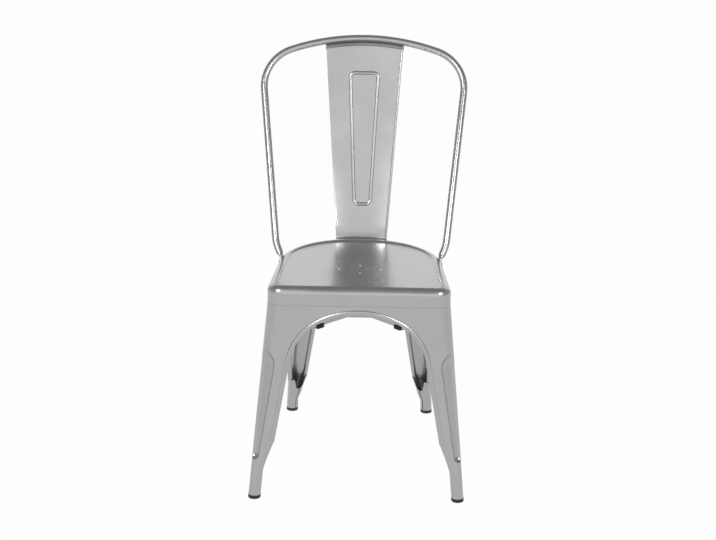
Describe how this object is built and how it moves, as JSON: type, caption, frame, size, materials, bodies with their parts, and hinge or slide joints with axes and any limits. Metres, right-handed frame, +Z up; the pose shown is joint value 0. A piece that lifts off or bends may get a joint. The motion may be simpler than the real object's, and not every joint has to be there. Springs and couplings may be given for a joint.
{
  "type": "metal bistro chair",
  "caption": "Stackable sheet-metal bistro chair with a pressed seat pan, arched splayed legs, a bent tube back hoop and a tapered back splat.",
  "frame": {"origin": "on the floor in the middle of the footprint", "axes": "+Z up, the front of the chair faces -Y, +X is the sitter's left when seated, to the right in the picture"},
  "size_m": [0.4402, 0.5087, 0.8644],
  "materials": {
    "silver_paint": "semi-gloss metallic silver powder coat",
    "rivet_paint": "semi-gloss metallic silver powder coat over rivet heads",
    "black_rubber": "satin black rubber",
    "pad_rubber": "matt black rubber"
  },
  "bodies": {
    "root": {"seat_pan": "silver_paint", "back_hoop": "silver_paint", "back_splat": "silver_paint", "front_right_leg": "silver_paint", "front_left_leg": "silver_paint", "rear_right_leg": "silver_paint", "rear_left_leg": "silver_paint", "front_brace": "silver_paint", "rear_brace": "silver_paint", "brace_rivets": "rivet_paint", "hoop_rivet_right": "rivet_paint", "hoop_rivet_left": "rivet_paint", "splat_rivets": "rivet_paint", "front_right_foot_cap": "black_rubber", "front_left_foot_cap": "black_rubber", "rear_right_foot_cap": "black_rubber", "rear_left_foot_cap": "black_rubber", "front_right_brace_pad": "pad_rubber", "front_left_brace_pad": "pad_rubber", "rear_right_brace_pad": "pad_rubber", "rear_left_brace_pad": "pad_rubber"}
  },
  "joints": []
}
